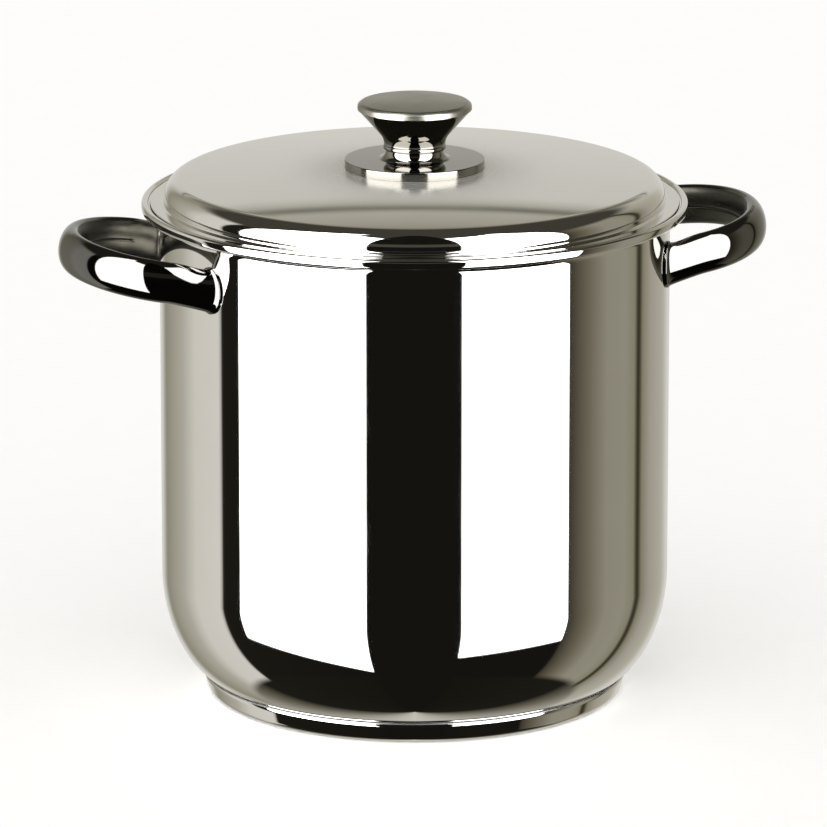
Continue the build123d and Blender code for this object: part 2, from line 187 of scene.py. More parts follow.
# ---------- finishes ----------
@dataclass(frozen=True)
class Finish:
    """What every metal finish here shares: a name, two tints and the span of its roughness."""

    name: str
    light: str
    dark: str
    smoothest: float
    roughest: float
    patch_mm: float = 38.0  # size of the patches left by the polishing wheel
    patch_span: Pair = (0.3, 0.7)  # the noise lies almost wholly between these

    def start(self) -> tuple[bpy.types.Material, Socket]:
        """Makes the material with its patches of tint and haze.

        Returns:
            The material and the Object coordinates' socket.
        """
        material = bpy.data.materials.new(self.name)
        material.use_nodes = True
        tree = material.node_tree
        shader = tree.nodes["Principled BSDF"]
        shader.inputs["Metallic"].default_value = 1.0
        spot = add_node(tree, "TexCoord").outputs["Object"]
        haze = add_node(tree, "TexNoise", {"Vector": spot, "Scale": 1 / (self.patch_mm * MM), "Detail": 5.0})
        patches = haze.outputs["Fac"]
        tint = blend_colours(tree, patches, linear(self.light), linear(self.dark))
        tree.links.new(tint, shader.inputs["Base Color"])
        rough = spread(tree, patches, self.patch_span, (self.smoothest, self.roughest))
        tree.links.new(rough, shader.inputs["Roughness"])
        return material, spot

    @staticmethod
    def relief(material: bpy.types.Material, height: Socket, depth: float) -> None:
        """Raises the surface by a height pattern.

        Args:
            material: the material that takes it.
            height: the pattern, from 0 to 1.
            depth: its depth in metres.
        """
        tree = material.node_tree
        bump = add_node(tree, "Bump", {"Height": height, "Strength": 1.0, "Distance": depth})
        tree.links.new(bump.outputs["Normal"], tree.nodes["Principled BSDF"].inputs["Normal"])


@dataclass(frozen=True)
class MirrorSteel(Finish):
    """Buffed stainless: clean reflections that waver a little where the sheet was drawn."""

    wave_mm: float = 70.0  # long waves of drawn sheet
    wave_depth_mm: float = 0.012
    stretch: float = 0.3  # the waves run up and down the wall

    def build(self) -> bpy.types.Material:
        """Makes the material; its waves bend the edges of what it mirrors."""
        material, spot = self.start()
        tree = material.node_tree
        squeeze = add_node(tree, "Mapping", {"Vector": spot, "Scale": (1.0, 1.0, self.stretch)})
        size = {"Vector": squeeze.outputs[0], "Scale": 1 / (self.wave_mm * MM), "Detail": 1.0}
        waves = add_node(tree, "TexNoise", size)
        self.relief(material, waves.outputs["Fac"], self.wave_depth_mm * MM)
        return material


@dataclass(frozen=True)
class DomeSteel(MirrorSteel):
    """The lid's sheet: satin on the crown, where nothing is mirrored, and buffed towards the shoulder."""

    satin_mm: float = 25.0  # the satin reaches this far from the axis
    buffed_mm: float = 97.0
    satin_roughness: float = 0.3
    satin_metallic: float = 0.5  # the rest of the satin scatters light evenly
    satin_tint: str = "BDBBB3"

    def build(self) -> bpy.types.Material:
        """Makes the material; its roughness and scatter fall off with the radius."""
        material = super().build()
        tree = material.node_tree
        radius = axis_distance(tree, add_node(tree, "TexCoord").outputs["Object"])
        crown = (self.satin_mm * MM, self.buffed_mm * MM)
        buffed = spread(tree, radius, crown, (0, 1), interpolation_type="SMOOTHSTEP")
        shader = tree.nodes["Principled BSDF"]
        haze = shader.inputs["Roughness"].links[0].from_socket
        rough = add_node(tree, "Mix", {0: buffed, 2: self.satin_roughness, 3: haze}, data_type="FLOAT")
        tree.links.new(rough.outputs[0], shader.inputs["Roughness"])
        sheen = spread(tree, buffed, (0, 1), (self.satin_metallic, 1.0))
        tree.links.new(sheen, shader.inputs["Metallic"])
        sheet_tint = shader.inputs["Base Color"].links[0].from_socket
        tint = blend_colours(tree, buffed, linear(self.satin_tint), sheet_tint)
        tree.links.new(tint, shader.inputs["Base Color"])
        return material


@dataclass(frozen=True)
class TurnedSatin(Finish):
    """Stainless sheet brushed on a lathe: fine rings about the axis that smear reflections."""

    ring_mm: float = 0.55  # brush lines, drawn coarser than real so that they show
    ring_depth_mm: float = 0.0035
    arc_mm: float = 30.0  # how far one brush line runs
    arc_radius_mm: float = 100.0  # at this distance from the axis

    def build(self) -> bpy.types.Material:
        """Makes the material; its rings follow the part's radius and height."""
        material, spot = self.start()
        tree = material.node_tree
        apart = add_node(tree, "SeparateXYZ", {0: spot}).outputs
        turn = maths(tree, "ARCTAN2", apart["Y"], apart["X"])
        squeezed = maths(tree, "MULTIPLY", turn, self.ring_mm / self.arc_mm)
        along = maths(tree, "MULTIPLY", squeezed, self.arc_radius_mm * MM)
        lines = add_node(tree, "CombineXYZ", {0: axis_distance(tree, spot), 1: along, 2: apart["Z"]})
        size = {"Vector": lines.outputs[0], "Scale": 1 / (self.ring_mm * MM), "Detail": 2.0}
        brushed = add_node(tree, "TexNoise", size)
        self.relief(material, brushed.outputs["Fac"], self.ring_depth_mm * MM)
        return material


@dataclass(frozen=True)
class DrawnMetal(Finish):
    """Drawn wire or rolled metal: soft reflections over a fine, even grain."""

    grain_mm: float = 1.2  # die marks, drawn coarser than real so that they show
    grain_depth_mm: float = 0.006

    def build(self) -> bpy.types.Material:
        """Makes the material; its grain breaks up the highlights."""
        material, spot = self.start()
        size = {"Vector": spot, "Scale": 1 / (self.grain_mm * MM), "Detail": 3.0}
        grain = add_node(material.node_tree, "TexNoise", size)
        self.relief(material, grain.outputs["Fac"], self.grain_depth_mm * MM)
        return material


class Finishes:
    """All the finishes of the canner, made once."""

    def __init__(self) -> None:
        """Makes the materials."""
        self.sheet = MirrorSteel("mirror_polished_stainless_sheet", "F2F1EF", "EBEAE7", 0.015, 0.04).build()
        self.dome = DomeSteel("satin_crowned_stainless_lid", "F2F1EF", "EBEAE7", 0.02, 0.05).build()
        # painted shade: a base tint far darker than the pot's sheet dims everything the knob's fittings
        # mirror, standing in for the dark surroundings they reflect
        self.cast = MirrorSteel(
            "buffed_fitting_painted_shade", "9C9A94", "918F89", 0.02, 0.06, patch_mm=14.0, wave_depth_mm=0.004
        ).build()
        # painted shade: the handle's base tint is darker still, so its outer faces mirror the room
        # near-black; the panels are bright enough that its highlights stay white
        self.handle = MirrorSteel(
            "buffed_handle_tube_painted_shade", "7B7A77", "737270", 0.02, 0.05, patch_mm=14.0, wave_depth_mm=0.004
        ).build()
        # faces of the handle that look towards the pot: rougher than the tube, and their near-black tint is
        # painted shade between handle and pot
        self.bore = DrawnMetal("unbuffed_inner_bend_painted_shade", "4C4A43", "413F39", 0.3, 0.42, patch_mm=12.0).build()
        self.inside = TurnedSatin("lathe_brushed_stainless", "D2D0C9", "C6C3BB", 0.24, 0.36).build()
        self.cap = TurnedSatin("satin_stainless_cap", "AEABA1", "A6A399", 0.3, 0.36, patch_mm=16.0).build()
        self.wire = DrawnMetal(
            "electropolished_steel_wire", "C9C7C2", "B9B7B1", 0.1, 0.2, patch_mm=20.0
        ).build()
        self.screw = DrawnMetal(
            "turned_stainless_screw", "B5B4B0", "A6A5A0", 0.22, 0.36, patch_mm=6.0
        ).build()
        self.disc = DrawnMetal("rolled_aluminium_disc", "C9CACC", "BDBEC1", 0.3, 0.45, patch_mm=30.0).build()


# ---------- modelling ----------
class Turning:
    """An outline drawn in the XZ plane with extrude and spin, then spun about Z."""

    FINE = 0.3 * MM  # a support point this close to each end of a straight keeps it straight
    LONG = 3 * MM  # and a shorter straight needs none
    WELD = 0.001 * MM  # points closer than this are one point

    def __init__(self, name: str, radius: float, height: float) -> None:
        """Starts the outline at one point.

        Args:
            name: the piece's name.
            radius: the first point's distance from the axis, in metres.
            height: its height.
        """
        bpy.ops.object.select_all(action="DESELECT")
        bpy.ops.mesh.primitive_plane_add(size=MM)
        self.piece = bpy.context.object
        self.piece.name = name
        self.piece.data.name = name
        bpy.ops.object.mode_set(mode="EDIT")
        bpy.ops.mesh.merge(type="CENTER")
        bpy.ops.transform.translate(value=(radius, 0, height))
        self.at = Vector((radius, 0, height))

    def step(self, radius: float, height: float) -> None:
        """Extrudes the last point to a new place."""
        goal = Vector((radius, 0, height))
        bpy.ops.mesh.extrude_region_move(TRANSFORM_OT_translate={"value": goal - self.at})
        self.at = goal

    def line(self, radius: float, height: float) -> "Turning":
        """Draws a straight, with support points near the ends of a long one.

        Args:
            radius: the end's distance from the axis.
            height: its height.

        Returns:
            The turning itself.
        """
        start, goal = self.at.copy(), Vector((radius, 0, height))
        run = goal - start
        if run.length > self.LONG:
            for place in (start + run.normalized() * self.FINE, goal - run.normalized() * self.FINE):
                self.step(place.x, place.z)
        self.step(radius, height)
        return self

    def arc(self, centre: Pair, turn: float, steps: int) -> "Turning":
        """Spins the last point about a centre.

        Args:
            centre: radius and height of the arc's centre.
            turn: degrees, positive from +X towards +Z.
            steps: how many edges the arc has.

        Returns:
            The turning itself.
        """
        pivot = Vector((centre[0], 0, centre[1]))
        bpy.ops.mesh.spin(steps=steps, angle=math.radians(turn), center=pivot, axis=(0, 1, 0))
        self.at = pivot + Matrix.Rotation(-math.radians(turn), 3, "Y") @ (self.at - pivot)
        return self

    def ellipse(self, centre: Pair, half: Pair, sweep: Pair, steps: int) -> "Turning":
        """Draws part of an ellipse, point by point.

        Args:
            centre: radius and height of its centre.
            half: its half axes.
            sweep: first and last angle in degrees; the first is where the outline stands.
            steps: how many edges it has.

        Returns:
            The turning itself.
        """
        for k in range(1, steps + 1):
            angle = math.radians(sweep[0] + (sweep[1] - sweep[0]) * k / steps)
            self.step(centre[0] + half[0] * math.cos(angle), centre[1] + half[1] * math.sin(angle))
        return self

    def finish(self, segments: int, sharp: float = 32.0) -> bpy.types.Object:
        """Closes the outline, spins it about Z and smooths it.

        Args:
            segments: steps round the axis.
            sharp: edges that turn more than this, in degrees, stay crisp.

        Returns:
            The finished piece.
        """
        bpy.ops.mesh.select_all(action="SELECT")
        bpy.ops.mesh.remove_doubles(threshold=self.WELD)
        bpy.ops.mesh.spin(steps=segments, angle=math.tau, center=(0, 0, 0), axis=(0, 0, 1))
        bpy.ops.mesh.select_all(action="SELECT")
        bpy.ops.mesh.remove_doubles(threshold=self.WELD)
        bpy.ops.mesh.normals_make_consistent(inside=False)
        bpy.ops.object.mode_set(mode="OBJECT")
        bpy.ops.object.shade_smooth_by_angle(angle=math.radians(sharp))
        return self.piece


def dress(piece: bpy.types.Object, *materials: bpy.types.Material) -> None:
    """Gives a piece its materials, in the order of its slots, and keeps each face's slot."""
    chosen = [face.material_index for face in piece.data.polygons]
    piece.data.materials.clear()
    for material in materials:
        piece.data.materials.append(material)
    for face, index in zip(piece.data.polygons, chosen):
        face.material_index = min(index, len(materials) - 1)


def place(piece: bpy.types.Object, body: str, slot: Slot, *nodes: str) -> None:
    """Puts a finished piece on its body in place of CAD nodes, and reports it.

    Args:
        piece: the finished piece.
        body: the CAD body that it rides on.
        slot: not used.
        nodes: the CAD nodes that it stands for.
    """
    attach(piece, body)
    if nodes:
        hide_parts(*nodes)
    log.info("%s: %d faces, rides on %s", piece.name, len(piece.data.polygons), body)


def widest(node: str) -> float:
    """The largest radius of a round CAD node, from its box."""
    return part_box(node)[1].x


# ---------- pot ----------
@dataclass
class Pot:
    """Drawn pot with its bonded base; sizes in millimetres."""

    wall: float = 1.0
    heel_width: float = 41.0
    heel_height: float = 64.0
    flare_radius: float = 8.0
    flare_sweep: float = 78.0
    bead_width: float = 3.8
    bead_height: float = 5.5
    bead_round: float = 1.8
    cup_sheet: float = 0.8
    cup_corner: float = 3.0  # the cup leaves the upright at its top edge
    cup_slope: float = 18.0  # and narrows downwards by this many degrees
    cup_round: float = 5.0
    heel_steps: int = 44
    flare_steps: int = 16
    bead_steps: int = 6
    level_cut: float = -0.99  # a face whose normal's Z is below this is the underside
    segments: int = 256

    def shell(self) -> bpy.types.Object:
        """Turns the wall, heel, floor, throat and rolled bead as one sheet.

        Returns:
            The piece, with its inner faces in the second material slot.
        """
        radius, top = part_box("pot_shell")[1].x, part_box("pot_shell")[1].z
        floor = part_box("pot_shell")[0].z
        rim, rim_top = widest("pot_rim"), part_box("pot_rim")[1].z
        wall, wide, tall = self.wall * MM, self.heel_width * MM, self.heel_height * MM
        heel = (radius - wide, floor + tall)
        curl = (radius + self.flare_radius * MM, top)
        corner, width, height = self.bead_round * MM, self.bead_width * MM, self.bead_height * MM
        pen = Turning("pot_body", 0.0, floor)
        pen.line(heel[0], floor).ellipse(heel, (wide, tall), (270, 360), self.heel_steps).line(radius, top)
        pen.arc(curl, -self.flare_sweep, self.flare_steps)
        low, out = rim_top - height, rim - width
        pen.line(out, pen.at.z).line(out, low + corner)
        pen.arc((out + corner, low + corner), 90, self.bead_steps).line(rim - corner, low)
        pen.arc((rim - corner, low + corner), 90, self.bead_steps).line(rim, rim_top - corner)
        pen.arc((rim - corner, rim_top - corner), 90, self.bead_steps).line(out + corner, rim_top)
        pen.arc((out + corner, rim_top - corner), 90, self.bead_steps)
        inner = self.flare_radius * MM + wall
        end = math.radians(180 - self.flare_sweep)
        pen.line(out, curl[1] + inner * math.sin(end)).line(curl[0] + inner * math.cos(end), pen.at.z)
        pen.arc(curl, self.flare_sweep, self.flare_steps).line(radius - wall, heel[1])
        pen.ellipse(heel, (wide - wall, tall - wall), (360, 270), self.heel_steps).line(0.0, floor + wall)
        piece = pen.finish(self.segments)
        middle = Vector((0, 0, (floor + top) / 2))
        for face in piece.data.polygons:
            face.material_index = int(face.center.z < top and face.normal.dot(face.center - middle) < 0)
        return piece

    def cup(self) -> bpy.types.Object:
        """Turns the stainless cup under the base, its underside in the second material slot."""
        radius, top = widest("base_capsule"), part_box("base_capsule")[1].z
        sheet, bend, corner = self.cup_sheet * MM, self.cup_round * MM, self.cup_corner * MM
        slope = math.radians(self.cup_slope)
        shoulder = (radius - corner, top - sheet)
        start = (shoulder[0] + corner * math.cos(slope), shoulder[1] - corner * math.sin(slope))
        low = bend * (1 - math.sin(slope))
        turn = (start[0] - (start[1] - low) * math.tan(slope) - bend * math.cos(slope), bend)
        inside = (turn[0] + (bend - sheet) * math.cos(slope), low + sheet * math.sin(slope))
        edge = (radius - sheet / 2, top - sheet / 2)
        pen = Turning("base_cup", 0.0, 0.0)
        pen.line(turn[0], 0.0).arc(turn, 90 - self.cup_slope, steps=18).line(*start)
        pen.arc(shoulder, self.cup_slope, steps=6).line(radius, edge[1])
        pen.arc(edge, 180, steps=8).line(radius - sheet, shoulder[1])
        pen.arc(shoulder, -self.cup_slope, steps=4).line(*inside)
        pen.arc(turn, self.cup_slope - 90, steps=12).line(0.0, sheet)
        piece = pen.finish(self.segments)
        for face in piece.data.polygons:
            face.material_index = int(face.normal.z < self.level_cut)
        return piece

    def build(self, finishes: Finishes) -> None:
        """Makes and places the pot's pieces."""
        shell = self.shell()
        dress(shell, finishes.sheet, finishes.inside)
        place(shell, "pot", Slot.POLISHED, "pot_shell", "pot_rim")
        cup = self.cup()
        dress(cup, finishes.sheet, finishes.inside)
        place(cup, "pot", Slot.POLISHED, "base_capsule")
        dress(frame["nodes"]["base_core_disc"], finishes.disc)


# ---------- handles ----------
@dataclass
class Handle:
    """Hollow oval tube bent to a D, flared to a plate at each foot; sizes in millimetres."""

    side: Side
    half_tall: float = 11.3
    half_thick: float = 6.5
    inset: float = 145.0  # the widest point of the loop, from the pot's axis
    half_width: float = 56.0
    tip_height: float = 257.5
    tilt: float = 9.0  # degrees the loop rises outwards
    end_angle: float = 86.0
    plate_wide: float = 9.6
    plate_tall: float = 13.0
    plate: float = 1.3
    plate_edge: float = 0.5
    edge_support: float = 0.2  # a ring this far behind the rounded edge keeps the plate's rim straight
    drop: float = 1.6  # the plate hangs lower than the tube
    sunk: float = 0.6  # how deep the foot's closing face lies in the wall
    seam_depth: float = 0.6
    seam_width: float = 1.2
    inner_shade_clear: float = 2.0  # the rough inner face with its painted shade starts this far from the wall
    inner_shade_facing: float = 0.35  # cosine of the widest angle at which a face still looks inwards
    sharp: float = 50.0  # degrees that an edge turns before it is crisp
    loop_rings: int = 56
    points: int = 48
    foot_steps: tuple[float, ...] = (0.14, 0.28, 0.42, 0.55, 0.67, 0.77, 0.85, 0.91, 0.955, 0.985)
    edge_turns: tuple[int, ...] = (0, 30, 60, 90)

    def __post_init__(self) -> None:
        """Works out the loop's plane and the pot's radius from the frame."""
        self.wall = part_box("pot_shell")[1].x
        tilt, sign = math.radians(self.tilt), self.side.value
        reach = abs(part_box(f"{self.side.word}_handle_loop")[self.side is Side.RIGHT].x)
        self.out = Vector((sign * math.cos(tilt), 0, math.sin(tilt)))
        self.up = Vector((-sign * math.sin(tilt), 0, math.cos(tilt)))
        swell = math.hypot(self.half_thick * math.cos(tilt), self.half_tall * math.sin(tilt)) * MM
        self.depth = reach - swell - self.inset * MM
        self.tip = Vector((sign * (reach - swell), 0, self.tip_height * MM))

    def on_loop(self, degrees: float) -> tuple[Vector, Vector]:
        """The centre line's place and direction at an angle round its ellipse."""
        turn, aside = math.radians(degrees), Vector((0, self.half_width * MM, 0))
        spot = self.tip + self.out * (self.depth * (math.cos(turn) - 1)) + aside * math.sin(turn)
        heading = self.out * (-self.depth * math.sin(turn)) + aside * math.cos(turn)
        return spot, heading.normalized()

    def loop_angle(self, ring: int) -> float:
        """The angle in degrees of one of the loop's rings, counted from its start."""
        return self.end_angle * (2 * ring / self.loop_rings - 1)

    def ring(self, spot: Vector, heading: Vector, up: Vector, tall: float, thick: float) -> None:
        """Adds one oval ring to the mesh in edit mode.

        Args:
            spot: its centre.
            heading: the tube's direction there.
            up: roughly where its long axis points.
            tall: half its long axis, in metres.
            thick: half its short axis.
        """
        up = (up - heading * up.dot(heading)).normalized()
        across = heading.cross(up)
        turned = Matrix((up, across, heading)).transposed()
        bpy.ops.mesh.primitive_circle_add(
            vertices=self.points, radius=thick, location=spot, rotation=turned.to_euler()
        )
        bpy.ops.transform.resize(
            value=(tall / thick, 1, 1),
            orient_type="LOCAL",
            orient_matrix=turned,
            orient_matrix_type="LOCAL",
            center_override=spot,
        )

    def foot(self, end: int) -> list[tuple]:
        """Rings of one foot, from the tube's end to inside the pot's wall.

        Args:
            end: -1 for the start of the loop, 1 for its end.

        Returns:
            A list of spot, heading, up, half height and half thickness.
        """
        spot, heading = self.on_loop(end * self.end_angle)
        inward = heading * end
        normal = Vector((spot.x, spot.y, 0)).normalized()
        far = (math.hypot(spot.x, spot.y) - self.wall) / -inward.dot(normal)
        landing = spot + inward * far - UP * (self.drop * MM)
        normal = Vector((landing.x, landing.y, 0)).normalized()
        landing = normal * self.wall + UP * landing.z
        front = landing + normal * (self.plate * MM)
        edge = self.plate_edge * MM
        tall, thick = self.half_tall * MM, self.half_thick * MM
        wide, high = self.plate_wide * MM, self.plate_tall * MM
        rings = []
        for share in self.foot_steps:
            grown, eased = 1 - math.sqrt(1 - share**4), share * share * (3 - 2 * share)
            centre = spot.lerp(front, share) + UP * (self.drop * MM * (share - eased))
            along = inward.lerp(-normal, eased).normalized()
            taller, thicker = (high - edge - tall) * grown, (wide - edge - thick) * grown
            rings.append((centre, along, self.up.lerp(UP, eased), tall + taller, thick + thicker))
        for degrees in self.edge_turns:
            turn = math.radians(degrees)
            shift, grow = edge * (1 - math.cos(turn)), edge * math.sin(turn)
            rings.append((front - normal * shift, -normal, UP, high - edge + grow, wide - edge + grow))
        for deep in (self.plate_edge + self.edge_support, self.plate + self.sunk):
            rings.append((front - normal * (deep * MM), -normal, UP, high, wide))
        return [(centre, along * end, up, high, wide) for centre, along, up, high, wide in rings]

    def loop(self) -> bpy.types.Object:
        """Builds the tube and its feet from rings, bridged into one skin.

        Returns:
            The finished piece.
        """
        bpy.ops.object.select_all(action="DESELECT")
        bpy.ops.mesh.primitive_plane_add(size=MM)
        piece = bpy.context.object
        piece.name = f"{self.side.word}_handle"
        piece.data.name = piece.name
        bpy.ops.object.mode_set(mode="EDIT")
        bpy.ops.mesh.delete(type="VERT")
        rings = self.foot(-1)[::-1]
        for k in range(self.loop_rings + 1):
            spot, heading = self.on_loop(self.loop_angle(k))
            rings.append((spot, heading, self.up, self.half_tall * MM, self.half_thick * MM))
        rings += self.foot(1)
        for ring in rings:
            self.ring(*ring)
        bpy.ops.mesh.select_all(action="SELECT")
        bpy.ops.mesh.bridge_edge_loops()
        bpy.ops.mesh.select_all(action="DESELECT")
        bpy.ops.mesh.select_mode(type="EDGE")
        bpy.ops.mesh.select_non_manifold()
        bpy.ops.mesh.edge_face_add()
        bpy.ops.mesh.select_mode(type="VERT")
        bpy.ops.mesh.select_all(action="SELECT")
        bpy.ops.mesh.normals_make_consistent(inside=False)
        bpy.ops.mesh.select_all(action="DESELECT")
        bpy.ops.object.mode_set(mode="OBJECT")
        self.press_seam(piece, len(self.foot(1)))
        bpy.ops.object.shade_smooth_by_angle(angle=math.radians(self.sharp))
        heart = self.tip - self.out * self.depth
        # faces that look towards the pot take the second slot, whose dark tint is painted shade
        for face in piece.data.polygons:
            inwards = (heart - face.center).normalized()
            clear = math.hypot(face.center.x, face.center.y) > self.wall + self.inner_shade_clear * MM
            face.material_index = int(clear and face.normal.dot(inwards) > self.inner_shade_facing)
        return piece

    def press_seam(self, piece: bpy.types.Object, first: int) -> None:
        """Cuts the weld seam, a fine groove along the face towards the pot.

        Args:
            piece: the bridged tube.
            first: how many rings of the foot come before the tube.
        """
        heart = self.tip - self.out * self.depth
        for k in range(first, first + self.loop_rings + 1):
            spot, heading = self.on_loop(self.loop_angle(k - first))
            inward = self.up.cross(heading)
            if inward.dot(heart - spot) < 0:
                inward.negate()
            inner = spot + inward * (self.half_thick * MM)
            ring = piece.data.vertices[k * self.points : (k + 1) * self.points]
            min(ring, key=lambda vertex: (vertex.co - inner).length).select = True
        bpy.ops.object.mode_set(mode="EDIT")
        bpy.ops.mesh.select_mode(type="VERT")
        bpy.ops.mesh.bevel(offset=self.seam_width / 2 * MM, segments=2, affect="EDGES")
        bpy.ops.mesh.select_less()
        bpy.ops.transform.shrink_fatten(value=-self.seam_depth * MM)
        bpy.ops.object.mode_set(mode="OBJECT")

    def build(self, finishes: Finishes) -> None:
        """Makes and places the handle."""
        piece, side = self.loop(), self.side.word
        dress(piece, finishes.handle, finishes.bore)
        place(piece, "pot", Slot.POLISHED, f"{side}_handle_loop", f"{side}_front_pad", f"{side}_rear_pad")


# ---------- lid ----------
@dataclass
class Lid:
    """Pressed dome with a flat flange; sizes in millimetres."""

    sheet: float = 0.8
    wall_radius: float = 137.3
    flange_fillet: float = 1.6
    shoulder_radius: float = 10.1
    shoulder_height: float = 279.5
    crown_radius: float = 1400.0
    hole_radius: float = 2.7
    hole_margin: float = 1.1  # within this many hole radii the faces keep the outer finish
    facing_down: float = -0.5  # a face whose normal's Z is below this belongs to the underside
    segments: int = 256

    def build(self, finishes: Finishes) -> None:
        """Makes and places the lid's sheet, its underside in the second material slot."""
        flange, foot = widest("lid_shell"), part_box("lid_shell")[0].z
        sheet, bend, crown = self.sheet * MM, self.shoulder_radius * MM, self.crown_radius * MM
        wall, hole, fillet = self.wall_radius * MM, self.hole_radius * MM, self.flange_fillet * MM
        shoulder = (wall - bend, self.shoulder_height * MM)
        centre = (0.0, shoulder[1] - math.sqrt((crown - bend) ** 2 - shoulder[0] ** 2))
        tangent = math.degrees(math.atan2(shoulder[1] - centre[1], shoulder[0]))
        start = math.degrees(math.acos(hole / crown))
        top, edge = foot + sheet, flange - sheet / 2
        curve = (wall + fillet, top + fillet)
        pen = Turning("lid_dome", hole, centre[1] + math.sqrt(crown**2 - hole**2))
        pen.arc(centre, tangent - start, steps=60).arc(shoulder, -tangent, steps=28).line(wall, curve[1])
        pen.arc(curve, 90, steps=8).line(edge, top).arc((edge, top - sheet / 2), -180, steps=8)
        pen.line(curve[0], foot).arc(curve, -90, steps=10).line(wall - sheet, shoulder[1])
        pen.arc(shoulder, tangent, steps=24)
        start = math.degrees(math.acos(hole / (crown - sheet)))
        pen.arc(centre, start - tangent, steps=60)
        pen.step(hole, centre[1] + math.sqrt(crown**2 - hole**2))
        piece = pen.finish(self.segments)
        middle = Vector((0, 0, foot))
        for face in piece.data.polygons:
            inwards = face.normal.dot(face.center - middle) < 0 or face.normal.z < self.facing_down
            beyond = math.hypot(face.center.x, face.center.y) > hole * self.hole_margin
            face.material_index = int(inwards and beyond)
        dress(piece, finishes.dome, finishes.inside)
        place(piece, "lid", Slot.POLISHED, "lid_shell")


# ---------- knob ----------
@dataclass
class Knob:
    """Spun knob: base plate, bead, cone and cap; sizes in millimetres."""

    sheet: float = 1.0
    skirt_edge: float = 4.7
    skirt_fillet: float = 0.6
    neck_radius: float = 15.7
    neck_fillet: float = 5.0
    bead_round: float = 0.45  # the bead's corner radius as a share of its height
    bore: float = 6.3
    seat: float = 9.3
    grip_neck: float = 17.0
    grip_round: float = 8.5
    grip_angle: float = 41.4
    lip_reach: float = 5.0  # the lip that carries the cap, from the cone's edge inwards
    lip_root: float = 2.0
    flank_inset: Pair = (0.8, 0.7)  # inner flank's foot, in and up from the outer one's
    throat_height: float = 2.5
    cap_edge: float = 2.2
    cap_sheet: float = 0.9
    cap_shoulder: float = 1.3  # how far the cap's shoulder lies under its crown
    cap_arc: float = 0.985  # share of the crown's arc that is drawn before the edge rolls over
    cap_roll: tuple[Pair, ...] = (  # the rolled edge, out and down in shares of its size
        (0.15, 0.03),
        (0.35, 0.17),
        (0.75, 0.48),
        (0.92, 0.68),
        (1.0, 1.0),
    )
    unmirrored: tuple[str, ...] = ("knob_grip", "knob_cap")  # the real crown is too hazy to mirror these
    fasteners: tuple[str, ...] = ("knob_insert", "knob_washer", "knob_spring_washer", "knob_screw")
    segments: int = 160

    def skirt(self) -> bpy.types.Object:
        """Turns the base plate: upright edge, nearly flat top, sweep up to the neck."""
        low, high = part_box("knob_skirt")
        radius, neck, bend = high.x, self.neck_radius * MM, self.neck_fillet * MM
        sheet, edge, bore = self.sheet * MM, self.skirt_fillet * MM, self.bore * MM
        step = low.z + self.skirt_edge * MM
        foot = (neck + bend, high.z - bend)
        slope = math.atan2(foot[1] - step, radius - foot[0])
        tangent = edge * math.tan((math.pi / 2 - slope) / 2)
        pen = Turning("knob_base", radius - sheet, low.z)
        pen.line(radius, low.z).line(radius, step - tangent)
        pen.arc((radius - edge, step - tangent), 90 - math.degrees(slope), steps=8).line(*foot)
        pen.arc((foot[0], high.z), -90, steps=20).line(bore, high.z).line(bore, high.z - sheet)
        turn = math.degrees(math.asin(sheet / (bend + sheet)))
        start = foot[0] - (bend + sheet) * math.cos(math.radians(turn))
        pen.line(start, high.z - sheet).arc((foot[0], high.z), 90 - turn, steps=14)
        pen.line(radius - sheet, step - sheet).line(radius - sheet, low.z)
        return pen.finish(self.segments)

    def bead(self) -> bpy.types.Object:
        """Turns the bead ring between base plate and cone."""
        low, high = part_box("knob_collar")
        bend, bore = self.bead_round * (high.z - low.z), self.bore * MM
        pen = Turning("knob_bead", bore, low.z)
        pen.line(high.x - bend, low.z).arc((high.x - bend, low.z + bend), 90, steps=10)
        pen.line(high.x, high.z - bend).arc((high.x - bend, high.z - bend), 90, steps=10)
        pen.line(bore, high.z).line(bore, low.z)
        return pen.finish(self.segments)

    def cone(self) -> bpy.types.Object:
        """Turns the cone that the fingers hold."""
        low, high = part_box("knob_grip")
        neck, bend = self.grip_neck * MM, self.grip_round * MM
        sheet, seat, throat = self.sheet * MM, self.seat * MM, (self.grip_neck - self.sheet) * MM
        mouth, root = high.x - self.lip_reach * MM, high.x - self.lip_root * MM
        angle = math.radians(self.grip_angle)
        start = (neck + bend * (1 - math.cos(angle)), low.z + bend * math.sin(angle))
        flank = (start[0] - self.flank_inset[0] * MM, start[1] + self.flank_inset[1] * MM)
        lip = start[1] + (high.x - start[0]) / math.tan(angle)
        pen = Turning("knob_cone", seat, low.z)
        pen.line(neck, low.z).arc((neck + bend, low.z), -self.grip_angle, steps=16).line(high.x, lip)
        pen.line(high.x, high.z).line(mouth, high.z).line(mouth, high.z - sheet)
        pen.line(root, high.z - sheet).line(*flank)
        pen.line(throat, low.z + self.throat_height * MM).line(throat, low.z + sheet)
        pen.line(seat, low.z + sheet).line(seat, low.z)
        return pen.finish(self.segments)

    def cap(self) -> bpy.types.Object:
        """Turns the lightly domed plate that closes the cone."""
        low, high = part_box("knob_cap")
        edge, sheet = self.cap_edge * MM, self.cap_sheet * MM
        shoulder = high.z - self.cap_shoulder * MM
        rise, reach = high.z - shoulder, high.x - edge
        crown = (reach**2 + rise**2) / (2 * rise)
        sweep = math.degrees(math.asin(reach / crown))
        pen = Turning("knob_disc", 0.0, high.z)
        pen.arc((0.0, high.z - crown), -sweep * self.cap_arc, steps=24)
        for out, down in self.cap_roll:
            pen.step(reach + out * edge, shoulder - down * edge)
        pen.line(high.x, low.z).line(high.x - sheet, low.z).line(high.x - sheet, shoulder - edge)
        pen.line(reach - sheet, shoulder - sheet).line(0.0, high.z - sheet)
        return pen.finish(self.segments)

